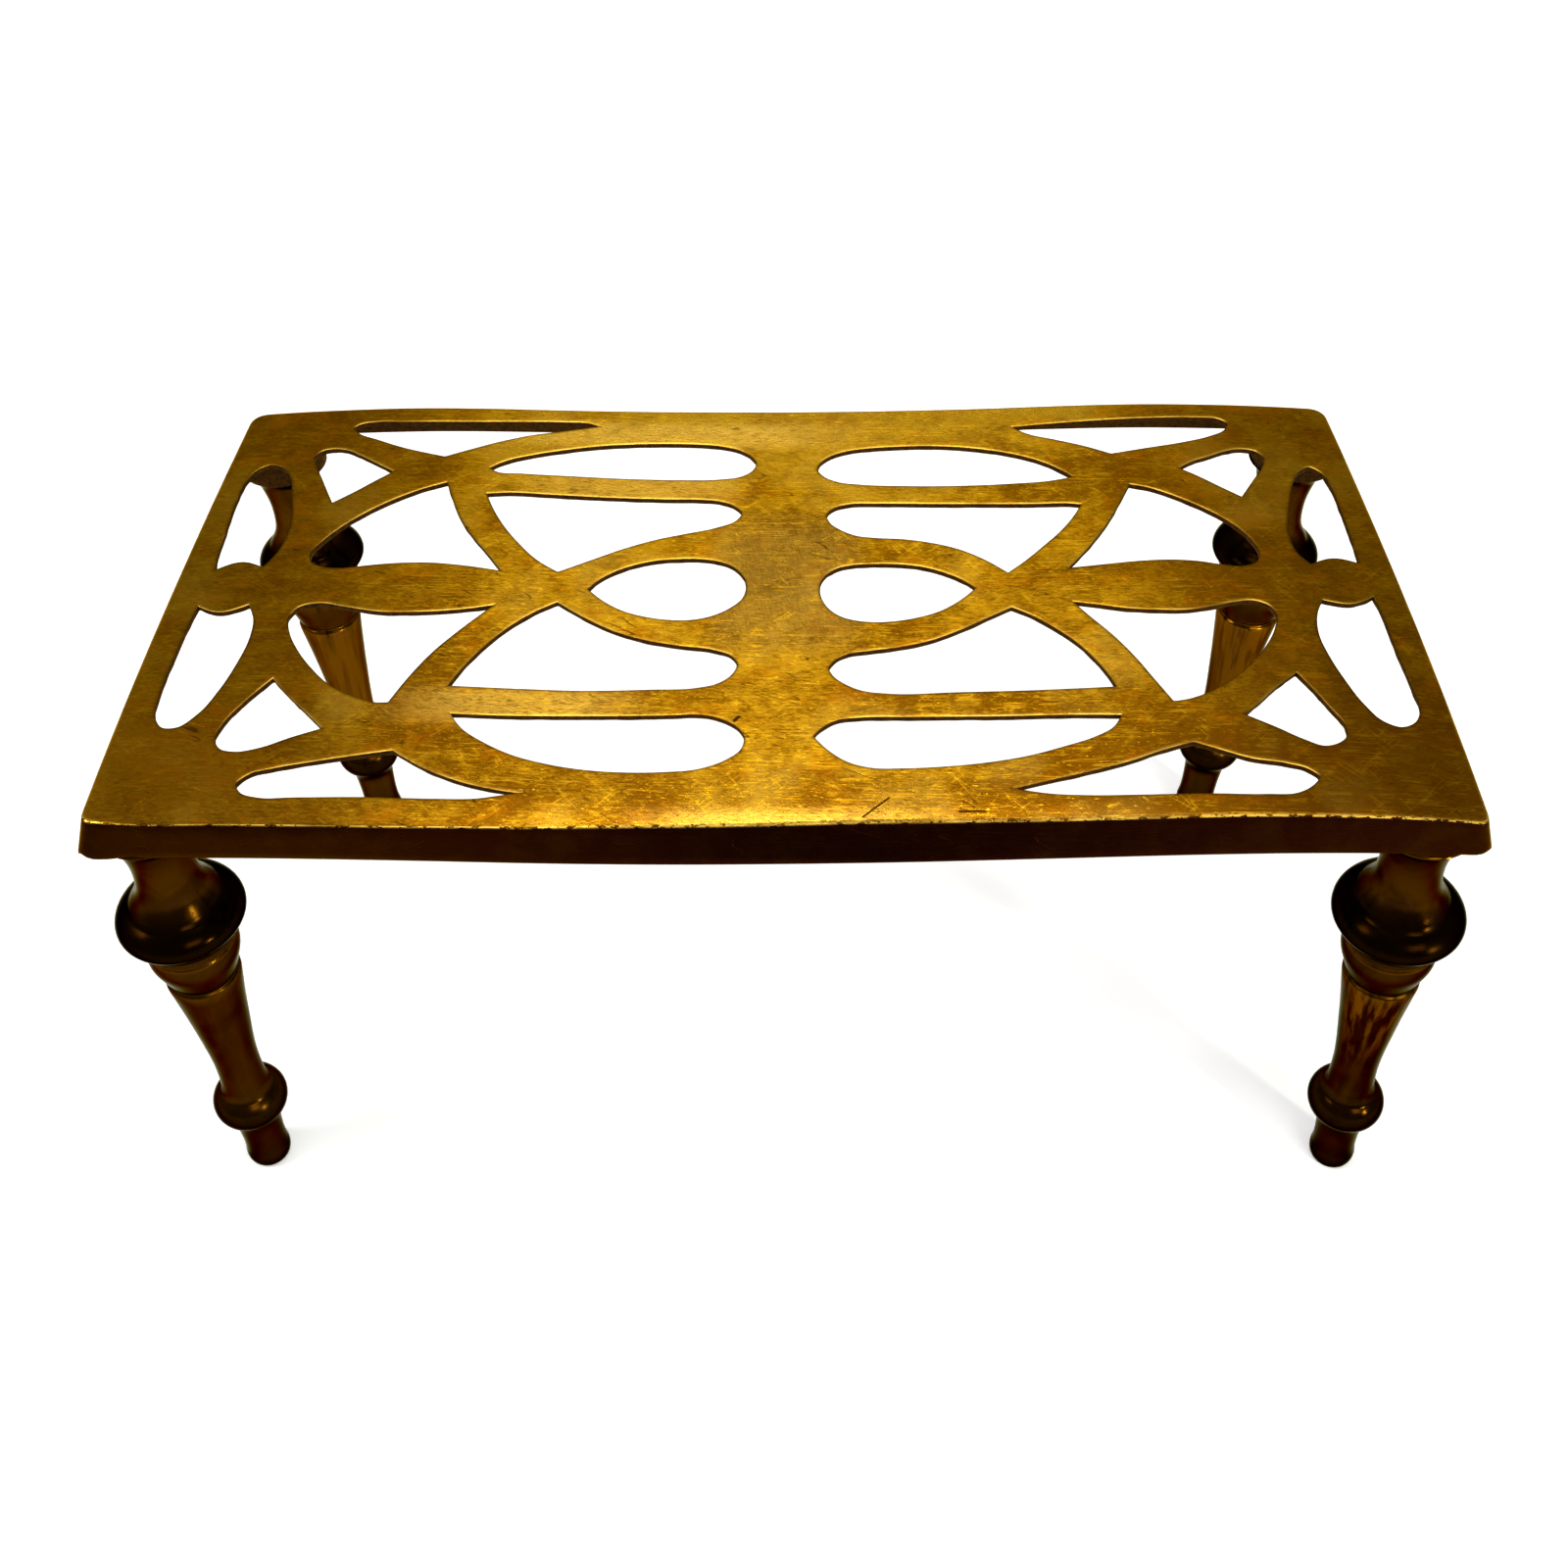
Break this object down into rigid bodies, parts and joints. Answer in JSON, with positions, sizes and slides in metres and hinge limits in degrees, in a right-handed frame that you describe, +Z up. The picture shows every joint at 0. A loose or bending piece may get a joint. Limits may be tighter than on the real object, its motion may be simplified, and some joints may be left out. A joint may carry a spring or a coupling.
{
  "type": "trivet",
  "caption": "Rectangular pierced brass trivet with a flared rim, standing on turned baluster legs, for resting a hot pot or kettle at the hearth or table.",
  "frame": {"origin": "floor level, under the middle of the whole trivet", "axes": "+X to the right along the long sides of the top, +Y towards the back, +Z up; the feet stand on z = 0"},
  "size_m": [0.3148, 0.1624, 0.1531],
  "materials": {
    "top_brass": "worn golden brass with brown patina",
    "leg_brass": "dark brown tarnished brass, glossy",
    "stud_iron": "dull dark iron"
  },
  "bodies": {
    "root": {"top_plate": "top_brass", "leg_front_left": "leg_brass", "leg_front_right": "leg_brass", "leg_back_left": "leg_brass", "leg_back_right": "leg_brass", "stud_front_left": "stud_iron", "stud_front_right": "stud_iron", "stud_back_left": "stud_iron", "stud_back_right": "stud_iron"}
  },
  "joints": []
}
